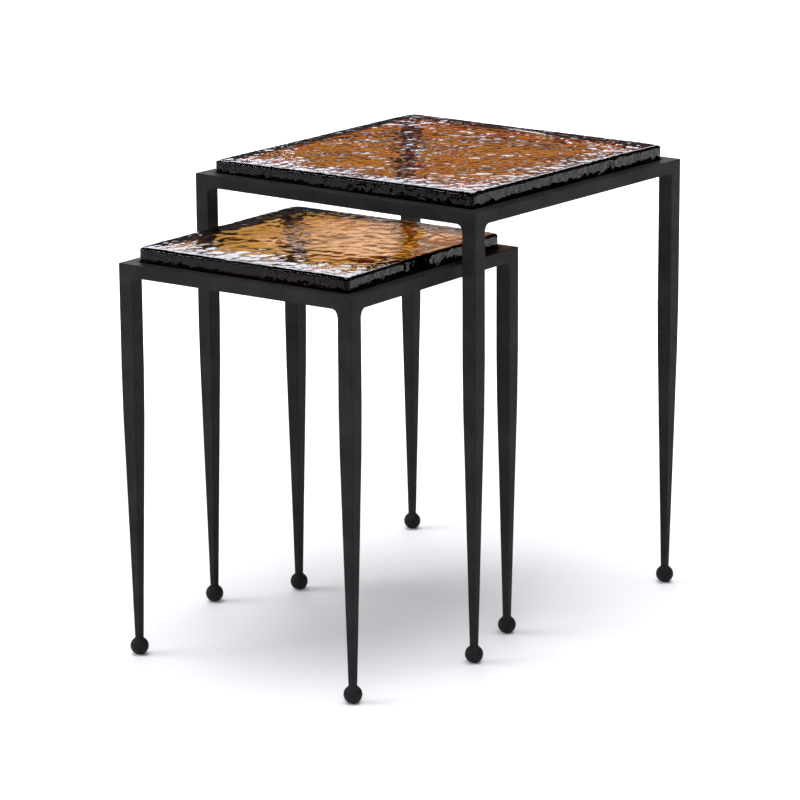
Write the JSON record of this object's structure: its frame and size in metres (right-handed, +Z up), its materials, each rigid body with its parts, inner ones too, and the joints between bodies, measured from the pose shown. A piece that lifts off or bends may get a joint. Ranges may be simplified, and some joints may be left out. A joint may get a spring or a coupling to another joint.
{
  "type": "nesting tables",
  "caption": "Nest of square side tables with tapered black iron legs on ball feet and drop-in amber cast glass slab tops.",
  "frame": {"origin": "on the floor, under the middle of the box round both tables as they stand", "axes": "+Z up; -Y is the front, the way the small table is drawn out; +X to the right seen from the front"},
  "size_m": [0.4384, 0.6578, 0.58],
  "materials": {
    "black_iron": "satin black powder coat over forged iron",
    "amber_glass": "clear amber cast glass, rippled on top",
    "clear_pad": "clear soft pad"
  },
  "bodies": {
    "large_frame": {"large_rail_front": "black_iron", "large_rail_right": "black_iron", "large_rail_back": "black_iron", "large_rail_left": "black_iron", "large_ledge_front": "black_iron", "large_ledge_right": "black_iron", "large_ledge_back": "black_iron", "large_ledge_left": "black_iron", "large_leg_front_left": "black_iron", "large_leg_front_right": "black_iron", "large_leg_back_right": "black_iron", "large_leg_back_left": "black_iron", "large_foot_front_left": "black_iron", "large_foot_front_right": "black_iron", "large_foot_back_right": "black_iron", "large_foot_back_left": "black_iron", "large_weld_fillets": "black_iron", "large_pads": "clear_pad"},
    "large_top": {"large_glass": "amber_glass"},
    "small_frame": {"small_rail_front": "black_iron", "small_rail_right": "black_iron", "small_rail_back": "black_iron", "small_rail_left": "black_iron", "small_ledge_front": "black_iron", "small_ledge_right": "black_iron", "small_ledge_back": "black_iron", "small_ledge_left": "black_iron", "small_leg_front_left": "black_iron", "small_leg_front_right": "black_iron", "small_leg_back_right": "black_iron", "small_leg_back_left": "black_iron", "small_foot_front_left": "black_iron", "small_foot_front_right": "black_iron", "small_foot_back_right": "black_iron", "small_foot_back_left": "black_iron", "small_weld_fillets": "black_iron", "small_pads": "clear_pad"},
    "small_top": {"small_glass": "amber_glass"}
  },
  "joints": [
    {"name": "small_table_slide", "type": "slide", "parent": "large_frame", "child": "small_frame", "axis": [0, 1, 0], "range_m": [-0.19, 0.2585]},
    {"name": "large_glass_lift", "type": "slide", "parent": "large_frame", "child": "large_top", "axis": [0, 0, 1], "range_m": [0, 0.1]},
    {"name": "small_glass_lift", "type": "slide", "parent": "small_frame", "child": "small_top", "axis": [0, 0, 1], "range_m": [0, 0.028]}
  ]
}
